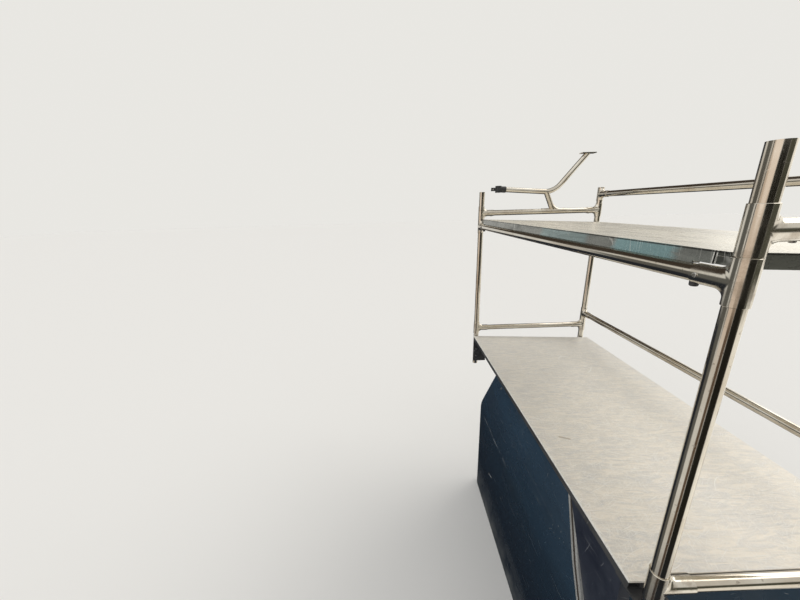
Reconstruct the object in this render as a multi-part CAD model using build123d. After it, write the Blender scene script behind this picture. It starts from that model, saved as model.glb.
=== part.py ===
from build123d import *
import math
import os

# Luggage rack on the front wheelhouse of a low-floor city bus, millimetres, +Z up.
# +X points from the aisle to the side wall, +Y to the rear of the bus.
# The floor is z = 0, and y = 0 lies midway between the front and the rear posts.

# Tube frame
tube_d = 30.0
tube_wall = 2.0
post_pitch_y = 1440.0
aisle_post_inset = 20.0
wall_post_inset = 32.0
post_foot_z = 795.0
aisle_post_top_z = 1860.0
fit_gap = 0.15
seat_gap = 0.3

# Rail heights, at the tube's axis
lower_end_rail_z = 1041.0
shelf_rail_z = 1672.0
tee_stack_pitch = 75.0
guard_top_z = 1834.0

# Cast tee fittings
tee_wall = 2.0
tee_sleeve_len = 74.0
tee_reach = 70.0
tee_socket_start = 26.0
tee_side_flat = 0.5
to_wall = 0.0
to_aisle = 180.0

# Table on the wheelhouse, which falls towards the wall
table_width = 734.0
table_front_y = -683.0
table_rear_y = 697.0
table_top_z = 992.0
fall_angle = 2.79
table_sheet = 2.0
table_hem = 5.0
frame_rail_w = 30.0
frame_rail_h = 25.0
frame_edge_gap = 1.0
frame_tube_wall = 2.0

# Upper shelf
shelf_top_z = 1713.0
shelf_sheet = 2.0
shelf_lip = 26.0
shelf_return = 14.0
shelf_end_gap = 25.0
shelf_wall_overhang = 12.0
shelf_lip_end_gap = 46.0
shelf_notch_aisle = 20.0
shelf_notch_wall = 31.0
shelf_notch_keep = 8.0
shelf_relief_gap = 84.0
shelf_relief_w = 34.0
shelf_relief_h = 4.0
corner_plate_gap = 2.0
corner_plate_h = 13.0

# Wheelhouse moulding
house_inset = 16.0
house_end_gap = 142.0
house_wall_t = 6.0
house_knee_z = 615.0
house_knee_r = 130.0
house_front_slope = 62.5
house_rear_slope = 54.0
house_low_crease_z = 570.0
house_low_lean = 5.0
house_crease_z = 755.0
house_band_lean = 23.0
house_crease_r = 90.0
house_corner_r = 60.0
house_top_edge_r = 10.0
floor_flange_w = 44.0
floor_bolt_d = 9.0
floor_bolt_edge = 24.0

# Aluminium corner trim on the front end of the moulding
trim_t = 2.0
trim_side_leg = 28.0
trim_end_leg = 40.0
trim_top_gap = 4.0
trim_groove_w = 10.0
trim_groove_depth = 0.8

# Post brackets under the table
bracket_t = 6.0
bracket_w = 76.0
bracket_inset = 3.0
bracket_foot_z = 818.0
bracket_flange = 62.0

# Wall ledger under the table's wall edge
ledger_leg = 30.0
ledger_t = 4.0
ledger_hole_d = 7.0
ledger_hole_pitch = 150.0
ledger_hole_drop = 18.0
ledger_clear = 8.0

# Panel ahead of the moulding
panel_t = 2.0
panel_set_back = 9.0
panel_end_gap = 3.0
panel_fold = 30.0
panel_fold_drop = 2.0

# Plugs and caps in the tops of the posts
plug_head_t = 2.5
plug_depth = 14.0
cap_t = 2.0

# Overhead stay at the rear end
stay_d = 28.0
stay_wall = 2.0
stay_bend_r = 110.0
stay_clamp_x = -256.0
stay_clamp_rise = 127.0
stay_knee_x = 62.0
stay_knee_rise = 105.0
stay_top_x = 232.0
stay_top_rise = 201.0
stay_leg_top_x = 20.0
stay_saddle_x = 69.0
saddle_len = 140.0
saddle_flare_r = 72.0
saddle_flare_sink = 0.6
saddle_end_gap = 4.0
foot_len = 78.0
foot_w = 34.0
foot_t = 5.0
foot_hole_pitch = 58.0
foot_hole_d = 6.6
clamp_pole_d = 28.0
clamp_wall = 2.8
clamp_h = 36.0
clamp_socket_len = 24.0
clamp_stop = 2.0
clamp_slot = 3.0
clamp_ear = 14.0
clamp_ear_w = 17.0
clamp_ear_h = 18.0
clamp_bolt_d = 5.5

# Places that follow from the sizes above
tube_r = tube_d / 2
table_half_w = table_width / 2
aisle_x = -table_half_w + aisle_post_inset
wall_x = table_half_w - wall_post_inset
post_y = post_pitch_y / 2
fall = math.tan(math.radians(fall_angle))
tee_r = tube_r + tee_wall
tee_flare_r = tee_sleeve_len / 2 - tee_r
tee_neck = tee_r + tee_flare_r
bore_r = tube_r + fit_gap
upper_end_rail_z = shelf_rail_z + tee_stack_pitch
guard_low_z = lower_end_rail_z + tee_stack_pitch
wall_shelf_rail_z = shelf_rail_z - fall * (wall_x - aisle_x)
frame_drop = table_sheet + seat_gap
house_top_drop = frame_drop + frame_rail_h + seat_gap
house_side_x = house_inset - table_half_w
house_front_y = -post_y + house_end_gap
house_rear_y = post_y - house_end_gap
stay_clamp_z = upper_end_rail_z + stay_clamp_rise
stay_knee_z = upper_end_rail_z + stay_knee_rise
stay_top_z = stay_knee_z + stay_top_rise
cut_reach = 2 * post_pitch_y

stand = (Align.CENTER, Align.CENTER, Align.MIN)
os.makedirs("parts", exist_ok=True)
nodes = []


def save(name, shape):
    export_step(shape, f"parts/{name}.step")
    nodes.append(name)


def tube(start, end, radius, wall):
    # A round tube between two points
    axis = Vector(*end) - Vector(*start)
    plane = Plane(origin=start, z_dir=axis)
    outer = extrude(plane * Circle(radius), axis.length)
    inner = extrude(plane * Circle(radius - wall), axis.length)
    return outer - inner


def horn(neck_r, flare_r, reach):
    # A solid round branch along +X that widens to a concave flare at its foot
    foot_r = neck_r + flare_r
    bend = flare_r * (1 - math.sqrt(0.5))
    outline = Polyline((0, 0), (0, foot_r), (foot_r - flare_r, foot_r))
    outline += ThreePointArc((neck_r, foot_r), (neck_r + bend, neck_r + bend), (foot_r, neck_r))
    outline += Polyline((foot_r, neck_r), (reach, neck_r), (reach, 0), (0, 0))
    return revolve(Plane.XZ * make_face(outline), Axis.X)


def tee(centre, branch_angle):
    # A sleeve on the post with a flared socket for the rail, turned about the post
    branch = horn(tee_r, tee_flare_r, tee_reach)
    slab = Box(2 * tee_reach, 2 * (tee_r - tee_side_flat), tee_sleeve_len)
    body = Cylinder(tee_r, tee_sleeve_len) + (branch & slab)
    body -= Cylinder(bore_r, 2 * tee_sleeve_len)
    socket = Plane(origin=(tee_socket_start, 0, 0), z_dir=(1, 0, 0)) * Circle(bore_r)
    body -= extrude(socket, tee_reach)
    return Pos(*centre) * Rot(0, 0, branch_angle) * body


def tilted(shape, edge_x, edge_z):
    # Places a flat tray so that it falls from its aisle edge towards the wall
    return Pos(edge_x, 0, edge_z) * Rot(0, fall_angle, 0) * shape


def tray(width, y0, y1, sheet, lip):
    # A sheet with its four edges turned down, its top at z = 0 and its aisle edge at x = 0
    length = y1 - y0
    outer = Pos(width / 2, (y0 + y1) / 2, -lip / 2) * Box(width, length, lip)
    inner = Box(width - 2 * sheet, length - 2 * sheet, lip)
    return outer - Pos(width / 2, (y0 + y1) / 2, -lip / 2 - sheet) * inner


# Posts, from the foot under the table to the top
wall_post_top_z = guard_top_z + tee_sleeve_len / 2 - cap_t
for row, x, top in (("aisle", aisle_x, aisle_post_top_z), ("wall", wall_x, wall_post_top_z)):
    for end, y in (("front", -post_y), ("rear", post_y)):
        save(f"{row}_post_{end}", tube((x, y, post_foot_z), (x, y, top), tube_r, tube_wall))

# Tees, each with its height and the turn of its socket
for end, y, along in (("front", -post_y, 90), ("rear", post_y, -90)):
    aisle_tees = (
        (lower_end_rail_z, to_wall),
        (shelf_rail_z, along),
        (upper_end_rail_z, to_wall),
    )
    wall_tees = (
        (lower_end_rail_z, to_aisle),
        (guard_low_z, along),
        (wall_shelf_rail_z, along),
        (upper_end_rail_z, to_aisle),
        (guard_top_z, along),
    )
    for row, x, table in (("aisle", aisle_x, aisle_tees), ("wall", wall_x, wall_tees)):
        fittings = [tee((x, y, z), turn) for z, turn in table]
        save(f"{row}_tees_{end}", Compound(fittings))

# Cross rails at both ends, between the sockets
socket_end = tee_socket_start + seat_gap
for level, z in (("lower", lower_end_rail_z), ("upper", upper_end_rail_z)):
    for end, y in (("front", -post_y), ("rear", post_y)):
        rail = tube((aisle_x + socket_end, y, z), (wall_x - socket_end, y, z), tube_r, tube_wall)
        save(f"{level}_end_rail_{end}", rail)

# Rails that run along the bus
rail_y = post_y - socket_end
long_rails = (
    ("shelf_rail_aisle", aisle_x, shelf_rail_z),
    ("shelf_rail_wall", wall_x, wall_shelf_rail_z),
    ("guard_rail_lower", wall_x, guard_low_z),
    ("guard_rail_upper", wall_x, guard_top_z),
)
for name, x, z in long_rails:
    save(name, tube((x, -rail_y, z), (x, rail_y, z), tube_r, tube_wall))

# Plugs in the open tops of the aisle posts, and caps over the wall posts
plugs = []
for y in (-post_y, post_y):
    head = Pos(aisle_x, y, aisle_post_top_z + plug_head_t / 2) * Cylinder(tube_r, plug_head_t)
    spigot_r = tube_r - tube_wall - fit_gap
    spigot = Pos(aisle_x, y, aisle_post_top_z - plug_depth / 2) * Cylinder(spigot_r, plug_depth)
    plugs.append(head + spigot)
    cap_z = wall_post_top_z + cap_t / 2
    plugs.append(Pos(wall_x, y, cap_z) * Cylinder(tube_r, cap_t))
save("post_plugs", Compound(plugs))

# Table top with a narrow turned-down hem
table = tray(table_width, table_front_y, table_rear_y, table_sheet, table_hem)
save("table_top", tilted(table, -table_half_w, table_top_z))

# Frame of rectangular tubes under the table, welded where they meet
def box_tube(cx, cy, length, along_y):
    # A rectangular tube lying flat under the table, along the bus or across it
    outer = Box(length, frame_rail_w, frame_rail_h)
    inner = Box(length, frame_rail_w - 2 * frame_tube_wall, frame_rail_h - 2 * frame_tube_wall)
    turn = Rot(0, 0, 90 if along_y else 0)
    return Pos(cx, cy, -frame_drop - frame_rail_h / 2) * turn * (outer - inner)


frame_end_gap = table_sheet + frame_edge_gap
frame_y0 = table_front_y + frame_end_gap
frame_y1 = table_rear_y - frame_end_gap
frame_x0 = frame_end_gap
frame_x1 = table_width - ledger_t - frame_end_gap
frame_len = frame_y1 - frame_y0
frame_mid_y = (frame_y0 + frame_y1) / 2
frame_mid_x = (frame_x0 + frame_x1) / 2
cross_len = (frame_x1 - frame_x0 - 3 * frame_rail_w) / 2
tubes = []
for x in (frame_x0 + frame_rail_w / 2, frame_mid_x, frame_x1 - frame_rail_w / 2):
    tubes.append(box_tube(x, frame_mid_y, frame_len, True))
for side in (-1, 1):
    for y in (frame_y0 + frame_rail_w / 2, frame_mid_y, frame_y1 - frame_rail_w / 2):
        x = frame_mid_x + side * (frame_rail_w + cross_len) / 2
        tubes.append(box_tube(x, y, cross_len, False))
frame = Compound([tilted(t, -table_half_w, table_top_z) for t in tubes])
save("table_frame", frame)


def plane_z(x, top_z, edge_x, drop):
    # Height of a surface parallel to a falling tray, a drop below its top
    return top_z - drop / math.cos(math.radians(fall_angle)) - fall * (x - edge_x)


# Angle brackets that hang from the table frame, each bolted to the foot of its post
plate_y = post_y - tube_r - seat_gap
bracket_edge = table_half_w - bracket_inset
bracket_mid = bracket_edge - bracket_w / 2
for row, mid_x in (("aisle", -bracket_mid), ("wall", bracket_mid)):
    for end, sign in (("front", -1), ("rear", 1)):
        flange_y = sign * (plate_y - bracket_flange / 2)
        top_z = plane_z(mid_x, table_top_z, -table_half_w, house_top_drop)
        seat = Pos(mid_x, 0, top_z) * Rot(0, fall_angle, 0)
        blank = Pos(mid_x, sign * (plate_y - bracket_t / 2), bracket_foot_z)
        blank *= Box(bracket_w, bracket_t, table_top_z - bracket_foot_z, align=stand)
        above = seat * Box(cut_reach, cut_reach, cut_reach, align=stand)
        flange_box = Box(bracket_w, bracket_flange, bracket_t)
        angle = (blank - above) + (seat * Pos(0, flange_y, -bracket_t / 2) * flange_box - above)
        save(f"{row}_bracket_{end}", angle)

# Upper shelf, a tray with deep lips whose lower edges turn in over the rails
shelf_half_len = post_y - shelf_end_gap
shelf_lip_half_len = post_y - shelf_lip_end_gap
shelf_w = wall_x + shelf_wall_overhang - aisle_x
shelf = tray(shelf_w, -shelf_half_len, shelf_half_len, shelf_sheet, shelf_lip)
for edge_x in (shelf_return / 2, shelf_w - shelf_return / 2):
    strip = Box(shelf_return, 2 * shelf_half_len, shelf_sheet)
    shelf += Pos(edge_x, 0, -shelf_lip + shelf_sheet / 2) * strip
notch_len = 2 * (shelf_half_len - shelf_lip_half_len)
relief_len = 2 * (shelf_relief_gap - shelf_end_gap)
for sign in (-1, 1):
    for edge_x, notch_w in ((0, shelf_notch_aisle), (shelf_w, shelf_notch_wall)):
        notch = Box(2 * notch_w, notch_len, shelf_lip)
        shelf -= Pos(edge_x, sign * shelf_half_len, -shelf_notch_keep - shelf_lip / 2) * notch
        relief = Box(2 * shelf_relief_w, relief_len, 2 * shelf_relief_h)
        shelf -= Pos(edge_x, sign * shelf_half_len, -shelf_lip) * relief
save("shelf_tray", tilted(shelf, aisle_x, shelf_top_z + seat_gap))

# Plates that close the aisle corners of the shelf, hollowed to follow the flare of the tee
corner_y = shelf_lip_half_len + corner_plate_gap
flare_end_y = post_y - tee_neck
plates = []
for sign in (-1, 1):
    room = Pos(aisle_x, sign * flare_end_y, shelf_rail_z + tee_neck) * Rot(0, 90, 0)
    room *= Cylinder(tee_flare_r - seat_gap, tube_d)
    over_rail = Box(tube_d, 2 * flare_end_y, tube_d, align=stand)
    room += Pos(aisle_x, 0, shelf_rail_z + tee_r + seat_gap) * over_rail
    plate = Box(shelf_sheet, tee_neck, corner_plate_h, align=(Align.MIN, Align.MIN, Align.MAX))
    plate = Pos(0, corner_y if sign > 0 else -corner_y - tee_neck, -shelf_notch_keep - seat_gap) * plate
    plates.append(tilted(plate, aisle_x, shelf_top_z + seat_gap) & room)
save("shelf_corner_plates", Compound(plates))


def arch_face(grow):
    # The moulding's outline seen from the aisle, grown on every side but the floor's
    points = [(house_front_y - grow, 0), (house_rear_y + grow, 0)]
    for sign, end_y, slope in ((1, house_rear_y, house_rear_slope), (-1, house_front_y, house_front_slope)):
        knee_z = house_knee_z + grow * math.tan(math.radians(90 - slope) / 2)
        run = (table_top_z - knee_z) / math.tan(math.radians(slope))
        ends = [(end_y + sign * grow, knee_z), (end_y + sign * (grow - run), table_top_z)]
        points += ends[::sign]
    face = make_face(Polyline(*points, points[0]))
    knees = face.vertices().filter_by(lambda v: 0 < v.Y < table_top_z)
    return fillet(knees, house_knee_r + grow)


def arch_plane(x):
    return Plane(origin=(x, 0, 0), x_dir=(0, 1, 0), z_dir=(1, 0, 0))


def house_solid(grow, corner_r):
    # The moulding's outer form, grown on every side by a given amount
    side = house_side_x - grow
    arch = extrude(arch_plane(side) * arch_face(grow), table_half_w - side)
    if corner_r > 0:
        near_side = arch.edges().filter_by(lambda e: e.center().X < side + fit_gap)
        rear = near_side.filter_by(lambda e: e.center().Y > 0 and e.center().Z > house_wall_t)
        rear = rear.filter_by(lambda e: e.bounding_box().size.Z > house_wall_t)
        arch = fillet(rear, corner_r)
    top_z = plane_z(side, table_top_z, -table_half_w, house_top_drop) + grow
    wall_z = plane_z(table_half_w, table_top_z, -table_half_w, house_top_drop) + grow
    band_x = side + house_band_lean
    corners = {
        "low": (side, house_low_crease_z),
        "crease": (side + house_low_lean, house_crease_z),
        "top": (band_x, top_z - fall * house_band_lean),
    }
    radii = {"low": house_crease_r, "crease": house_crease_r, "top": house_top_edge_r + grow}
    face = make_face(
        Polyline((side, 0), *corners.values(), (table_half_w, wall_z), (table_half_w, 0), (side, 0))
    )
    for name, radius in radii.items():
        bend = face.vertices().sort_by_distance((*corners[name], 0))[0]
        face = fillet(bend, radius)
    side_plane = Plane(origin=(0, cut_reach / 2, 0), x_dir=(1, 0, 0), z_dir=(0, -1, 0))
    return arch & extrude(side_plane * face, cut_reach)


outer_house = house_solid(0, house_corner_r)
inner_house = house_solid(-house_wall_t, house_corner_r - house_wall_t)
house = outer_house - inner_house
inner_y = (house_front_y + house_wall_t, house_rear_y - house_wall_t)
inner_mid_y = (inner_y[0] + inner_y[1]) / 2
inner_len = inner_y[1] - inner_y[0]
flange_x0 = house_side_x + house_wall_t
flange_len = table_half_w - flange_x0
flange = Box(flange_len, inner_len, house_wall_t, align=stand)
hollow = Box(flange_len, inner_len - 2 * floor_flange_w, house_wall_t, align=stand)
flange -= Pos(floor_flange_w, 0, 0) * hollow
house += Pos(flange_x0 + flange_len / 2, inner_mid_y, 0) * flange & outer_house
for x in (flange_x0 + floor_bolt_edge, table_half_w - floor_bolt_edge):
    for y in (inner_y[0] + floor_bolt_edge, inner_y[1] - floor_bolt_edge):
        house -= Pos(x, y, 0) * Cylinder(floor_bolt_d / 2, 4 * house_wall_t)
save("wheelhouse_moulding", house)

# Corner trim, an aluminium angle along the moulding's front edge, grooved for a dark insert
trim_gap = seat_gap
shell = house_solid(trim_gap + trim_t, 0) - house_solid(trim_gap, 0)
trim_top_z = plane_z(house_side_x, table_top_z, -table_half_w, house_top_drop) - trim_top_gap
front_part = Box(cut_reach, cut_reach, trim_top_z, align=(Align.MAX, Align.MAX, Align.MIN))
window = extrude(arch_plane(-cut_reach) * arch_face(-trim_side_leg), 2 * cut_reach)
trim = (shell & Pos(house_side_x + trim_end_leg, 0, 0) * front_part) - window
groove_in = (trim_side_leg - trim_groove_w) / 2
skin = house_solid(trim_gap + trim_t, 0) - house_solid(trim_gap + trim_t - trim_groove_depth, 0)
skin &= extrude(arch_plane(-cut_reach) * arch_face(-groove_in), 2 * cut_reach)
skin -= extrude(arch_plane(-cut_reach) * arch_face(-groove_in - trim_groove_w), 2 * cut_reach)
save("corner_trim", trim - skin)

# Ledger angles screwed to the side wall ahead of the moulding and behind it
ledger_x = table_half_w - ledger_t
ledger_top_z = plane_z(ledger_x, table_top_z, -table_half_w, house_top_drop)
ledger_out = post_y - tube_r - bracket_flange - ledger_clear
rise = ledger_top_z - ledger_leg - house_knee_z
front_in = house_front_y + rise / math.tan(math.radians(house_front_slope)) - ledger_clear
rear_in = house_rear_y - rise / math.tan(math.radians(house_rear_slope)) + ledger_clear
for end, y0, y1 in (("front", -ledger_out, front_in), ("rear", rear_in, ledger_out)):
    upright = Box(ledger_t, y1 - y0, ledger_leg, align=(Align.MAX, Align.CENTER, Align.MAX))
    foot = Box(ledger_leg, y1 - y0, ledger_t, align=(Align.MAX, Align.CENTER, Align.MAX))
    ledger = upright + foot
    for side in (-1, 1):
        hole = Pos(0, side * ledger_hole_pitch / 2, -ledger_hole_drop) * Rot(0, 90, 0)
        ledger -= hole * Cylinder(ledger_hole_d / 2, 4 * ledger_t)
    save(f"wall_ledger_{end}", Pos(table_half_w, (y0 + y1) / 2, ledger_top_z) * ledger)

# Panel that closes the space ahead of the moulding, folded at its front end and at the floor
panel_x = house_side_x + panel_set_back
panel_y0 = -post_y + tube_r + bracket_flange + panel_end_gap
panel_top_z = plane_z(panel_x, table_top_z, -table_half_w, house_top_drop) - seat_gap
corner = (Align.MIN, Align.MIN, Align.MIN)
panel = Box(panel_t, -panel_y0, panel_top_z, align=corner)
panel += Box(panel_fold, panel_t, panel_top_z - panel_fold_drop, align=corner)
hem_len = house_front_y - panel_y0 - trim_t - 2 * seat_gap
panel += Box(panel_fold, hem_len, panel_t, align=corner)
outline = arch_plane(-cut_reach) * arch_face(trim_gap + trim_t + seat_gap)
save("front_panel", Pos(panel_x, panel_y0, 0) * panel - extrude(outline, 2 * cut_reach))

# Overhead stay, welded from a bent tube, a short leg and a flared saddle on the rear upper rail
stay_r = stay_d / 2
pole_bore_r = clamp_pole_d / 2 + fit_gap
clamp_r = clamp_pole_d / 2 + clamp_wall
knee = (stay_knee_x, stay_knee_z)
start = (stay_clamp_x + clamp_r + clamp_stop, stay_clamp_z)
run = math.atan2(knee[1] - start[1], knee[0] - start[0])
rise = math.atan2(stay_top_z - knee[1], stay_top_x - knee[0])
cut_back = stay_bend_r * math.tan((rise - run) / 2)
bend0 = (knee[0] - cut_back * math.cos(run), knee[1] - cut_back * math.sin(run))
bend1 = (knee[0] + cut_back * math.cos(rise), knee[1] + cut_back * math.sin(rise))
half_a = (run + rise) / 2
centre = (bend0[0] - stay_bend_r * math.sin(run), bend0[1] + stay_bend_r * math.cos(run))
bend_mid = (centre[0] + stay_bend_r * math.sin(half_a), centre[1] - stay_bend_r * math.cos(half_a))
stay_plane = Plane(origin=(0, post_y, 0), x_dir=(1, 0, 0), z_dir=(0, -1, 0))
path = Line(start, bend0) + ThreePointArc(bend0, bend_mid, bend1) + Line(bend1, (stay_top_x, stay_top_z))
path = stay_plane * path
section_plane = Plane(origin=path @ 0, z_dir=path % 0)
stay_skin = sweep(section_plane * Circle(stay_r), path)
stay_bore = sweep(section_plane * Circle(stay_r - stay_wall), path)
leg_top = Vector(stay_leg_top_x, post_y, stay_clamp_z + (stay_leg_top_x - start[0]) * math.tan(run))
leg_foot = Vector(stay_saddle_x, post_y, upper_end_rail_z)
leg_plane = Plane(origin=leg_foot, x_dir=(0, 1, 0), z_dir=leg_top - leg_foot)
leg_axis = leg_top - leg_foot
leg = extrude(leg_plane * Circle(stay_r), leg_axis.length)
leg_bore = extrude(leg_plane * Circle(stay_r - stay_wall), leg_axis.length)
sink = tee_r - stay_r - saddle_flare_sink
turn_point = leg_foot + leg_axis * (sink / leg_axis.Z)
flare_reach = stay_saddle_x + saddle_len / 2 - saddle_end_gap - turn_point.X
flare_start = turn_point + leg_axis * (flare_reach / leg_axis.length)
flare_end = turn_point + Vector(flare_reach, 0, 0)
flare_path = FilletPolyline(flare_start, turn_point, flare_end, radius=saddle_flare_r)
flare_plane = Plane(origin=flare_path @ 0, z_dir=flare_path % 0)
flare = sweep(flare_plane * Circle(stay_r), flare_path)
saddle_seat = Pos(stay_saddle_x, post_y, upper_end_rail_z)
saddle_box = Box(saddle_len, 2 * (tee_r - tee_side_flat), saddle_len, align=stand)
sleeve = saddle_seat * Rot(0, 90, 0) * Cylinder(tee_r, saddle_len)
rail_room = saddle_seat * Rot(0, 90, 0) * Cylinder(bore_r, 2 * saddle_len)
above = Pos(stay_top_x, post_y, stay_top_z) * Box(cut_reach, cut_reach, cut_reach, align=stand)
saddle = (sleeve + flare) & saddle_seat * saddle_box
stay = stay_skin + leg + saddle - stay_bore - leg_bore - rail_room - above
stay += Pos(stay_top_x, post_y, stay_top_z) * Box(foot_len, foot_w, foot_t)
for side in (-1, 1):
    hole = Pos(stay_top_x + side * foot_hole_pitch / 2, post_y, stay_top_z)
    stay -= hole * Cylinder(foot_hole_d / 2, 4 * foot_t)
save("overhead_stay", stay)

# Clamp on the stay's free end that grips a ceiling pole
grip = Cylinder(clamp_r, clamp_h)
grip += Pos(-clamp_r - clamp_ear / 2, 0, 0) * Box(clamp_ear + clamp_r, clamp_ear_w, clamp_ear_h)
neck = Plane(origin=(0, 0, 0), x_dir=(0, 1, 0), z_dir=(math.cos(run), 0, math.sin(run)))
neck_len = clamp_r + clamp_socket_len
grip += extrude(neck * Circle(stay_r + clamp_wall), neck_len)
grip -= Cylinder(pole_bore_r, 4 * clamp_h)
grip -= Pos(-cut_reach / 2, 0, 0) * Box(cut_reach, clamp_slot, 2 * clamp_h)
stay_start = (clamp_r + clamp_stop) / math.cos(run) - seat_gap
grip -= extrude(neck.offset(stay_start) * Circle(stay_r + fit_gap), neck_len)
pinch = Pos(-clamp_r - clamp_ear / 2, 0, 0) * Rot(90, 0, 0)
grip -= pinch * Cylinder(clamp_bolt_d / 2, clamp_h)
clamp_z = stay_clamp_z - (start[0] - stay_clamp_x) * math.tan(run)
save("stay_clamp", Pos(stay_clamp_x, post_y, clamp_z) * grip)

print("nodes", len(nodes))
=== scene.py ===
import math
import bpy
import bmesh
from mathutils import Matrix, Vector


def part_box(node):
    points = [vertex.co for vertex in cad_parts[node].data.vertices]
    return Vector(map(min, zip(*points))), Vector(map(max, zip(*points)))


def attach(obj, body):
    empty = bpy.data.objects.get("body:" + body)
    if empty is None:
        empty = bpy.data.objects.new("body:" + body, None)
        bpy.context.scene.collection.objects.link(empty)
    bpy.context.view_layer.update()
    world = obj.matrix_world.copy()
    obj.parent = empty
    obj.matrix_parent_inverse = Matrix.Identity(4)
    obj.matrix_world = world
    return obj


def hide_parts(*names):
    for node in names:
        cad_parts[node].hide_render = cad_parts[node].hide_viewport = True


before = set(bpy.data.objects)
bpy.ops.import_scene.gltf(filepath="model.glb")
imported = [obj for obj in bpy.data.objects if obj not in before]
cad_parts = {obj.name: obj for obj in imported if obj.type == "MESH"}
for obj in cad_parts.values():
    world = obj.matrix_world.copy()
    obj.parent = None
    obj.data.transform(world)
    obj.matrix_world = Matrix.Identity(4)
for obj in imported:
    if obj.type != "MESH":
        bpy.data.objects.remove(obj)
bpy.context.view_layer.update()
print("frame loaded:", len(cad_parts), "nodes")


# Node helpers: sums on a Shade add Math nodes, everything else goes through Sheet.add

class Shade:
    def __init__(self, sheet, socket):
        self.sheet = sheet
        self.socket = socket

    def other(self, out):
        return Shade(self.sheet, self.socket.node.outputs[out])

    def math(self, operation, *others):
        return self.sheet.math(operation, self, *others)

    def __add__(self, other):
        return self.math("ADD", other)

    def __sub__(self, other):
        return self.math("SUBTRACT", other)

    def __rsub__(self, other):
        return self.sheet.math("SUBTRACT", other, self)

    def __mul__(self, other):
        return self.math("MULTIPLY", other)

    __radd__ = __add__
    __rmul__ = __mul__


class Sheet:
    def __init__(self, tree):
        self.tree = tree

    def add(self, kind, settings=None, inputs=None, out=0):
        node = self.tree.nodes.new(kind)
        for key, value in (settings or {}).items():
            setattr(node, key, value)
        for key, value in (inputs or {}).items():
            self.plug(node.inputs[key], value)
        return Shade(self, node.outputs[out]) if node.outputs else None

    def plug(self, socket, value):
        if isinstance(value, Shade):
            self.tree.links.new(value.socket, socket)
        elif socket.type == "RGBA" and len(value) == 3:
            socket.default_value = (*value, 1.0)
        else:
            socket.default_value = value

    def math(self, operation, *values):
        return self.add("ShaderNodeMath", {"operation": operation}, dict(enumerate(values)))

    def band(self, value, low, high, start=0.0, end=1.0):
        inputs = {0: value, 1: low, 2: high, 3: start, 4: end}
        return self.add("ShaderNodeMapRange", {"clamp": True}, inputs)

    def blend(self, factor, first, second):
        # Sockets 0, 6, 7 and 2 are the colour mix's factor, colours and result
        inputs = {0: factor, 6: first, 7: second}
        return self.add("ShaderNodeMix", {"data_type": "RGBA"}, inputs, out=2)


class ShaderSheet(Sheet):
    def __init__(self, name):
        self.material = bpy.data.materials.new(name)
        self.material.use_nodes = True
        super().__init__(self.material.node_tree)
        self.shader = self.tree.nodes["Principled BSDF"]
        self.coords = self.add("ShaderNodeTexCoord", out="Object")

    def set(self, **values):
        for key, value in values.items():
            self.plug(self.shader.inputs[key.replace("_", " ")], value)

    def part(self, axis):
        return self.add("ShaderNodeSeparateXYZ", None, {0: self.coords}, out="XYZ".index(axis))

    def shifted(self, scale=(1, 1, 1), turn=(0, 0, 0), move=(0, 0, 0), source=None):
        inputs = {"Vector": source or self.coords, "Location": move, "Rotation": turn, "Scale": scale}
        return self.add("ShaderNodeMapping", {"vector_type": "POINT"}, inputs)

    def noise(self, scale, detail=3.0, rough=0.55, warp=0.0, source=None):
        inputs = {
            "Vector": source or self.coords,
            "Scale": scale,
            "Detail": detail,
            "Roughness": rough,
            "Distortion": warp,
        }
        return self.add("ShaderNodeTexNoise", None, inputs)

    def cells(self, scale):
        inputs = {"Vector": self.coords, "Scale": scale}
        return self.add("ShaderNodeTexVoronoi", None, inputs, out="Distance")

    def bump(self, height, strength, distance, under=None):
        inputs = {"Height": height, "Strength": strength, "Distance": distance}
        if under is not None:
            inputs["Normal"] = under
        return self.add("ShaderNodeBump", None, inputs)

    def scratches(self, rows, source=None, bend=0.03):
        # Each row is turn in degrees, length, width, cut and seed; lengths in metres
        total = None
        sway = self.noise(5.0, 2.0, 0.5, source=source)
        swing = self.noise(4.0, 2.0, 0.5, source=self.shifted(move=(3.1, 7.7, 1.9), source=source))
        lift = self.add("ShaderNodeCombineXYZ", None, {0: sway * bend * 2.0, 1: swing * bend * 2.0, 2: 0.0})
        bent = self.add("ShaderNodeVectorMath", {"operation": "ADD"}, {0: source or self.coords, 1: lift})
        for turn, length, width, cut, seed in rows:
            turned = self.shifted(turn=(0, 0, math.radians(turn)), move=(seed, seed * 0.7, 0), source=bent)
            stretched = self.shifted(scale=(1 / length, 1 / width, 1 / length), source=turned)
            line = self.band(self.noise(1.0, 2.0, 0.5, source=stretched), cut, cut + 0.05)
            total = line if total is None else total.math("MAXIMUM", line)
        return total

    def stroke(self, u, v, mark):
        # One short mark on a face, of its own slope, faded at both ends
        ahead = u - mark["u"]
        off = (v - mark["v"] - ahead * mark["slope"] - ahead * ahead * mark["bend"]).math("ABSOLUTE")
        line = self.band(off, mark["half"], mark["half"] * 0.4)
        return line * self.band(ahead.math("ABSOLUTE"), mark["reach"], mark["reach"] * 0.7)


# Finishes, one dictionary each

tubeFinish = {
    "base": (0.66, 0.62, 0.545),
    "warm": (0.53, 0.47, 0.385),
    "grime": (0.15, 0.12, 0.09),
    "pale": (0.80, 0.78, 0.72),
    "roughLow": 0.07,
    "roughHigh": 0.17,
    "grain": 900.0,
    "stretch": 60.0,
}


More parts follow.
